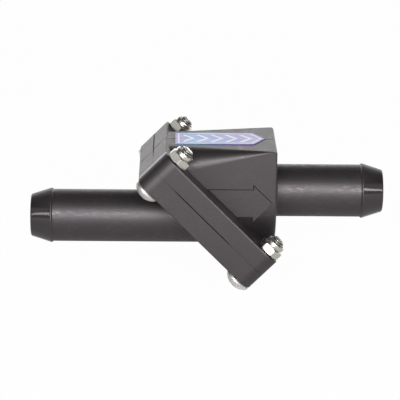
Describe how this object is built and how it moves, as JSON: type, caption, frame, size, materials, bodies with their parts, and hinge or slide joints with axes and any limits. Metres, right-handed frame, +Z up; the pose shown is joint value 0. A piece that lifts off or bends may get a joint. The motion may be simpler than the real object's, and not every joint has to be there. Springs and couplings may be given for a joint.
{
  "type": "non-return valve",
  "caption": "In-line hose valve: two black plastic halves bolted at a slanted flange, a barbed hose tail at each end, and a hinged flap inside that lets flow pass one way.",
  "frame": {"origin": "centre of the inlet mouth, on the inlet tail's axis", "axes": "+X runs with the flow from the inlet to the outlet, +Z is up and goes through the top label, +Y is the side away from the picture's camera; the outlet tail is parallel to X and 10 mm above the inlet tail"},
  "size_m": [0.1275, 0.056, 0.0531],
  "materials": {
    "body_plastic": "satin black moulded plastic",
    "gasket_rubber": "flat black rubber",
    "seal_rubber": "flat black rubber",
    "flap_plastic": "dark grey moulded plastic",
    "stainless": "bright stainless steel",
    "label_film": "pale blue-violet film"
  },
  "bodies": {
    "housing": {"inlet_body": "body_plastic", "outlet_body": "body_plastic", "body_gasket": "gasket_rubber", "hinge_pin": "stainless", "flow_label": "label_film", "flange_screw_1": "stainless", "lock_nut_1": "stainless", "flange_screw_2": "stainless", "lock_nut_2": "stainless", "flange_screw_3": "stainless", "lock_nut_3": "stainless", "flange_screw_4": "stainless", "lock_nut_4": "stainless"},
    "flap_unit": {"flap": "flap_plastic", "flap_seal": "seal_rubber", "seal_retainer": "stainless", "flap_screw": "stainless", "flap_nut": "stainless"}
  },
  "joints": [
    {"name": "flap_hinge", "type": "hinge", "parent": "housing", "child": "flap_unit", "pos_m": [0.05784, 0, 0.01146], "axis": [0, -1, 0], "range_deg": [0, 70]}
  ]
}
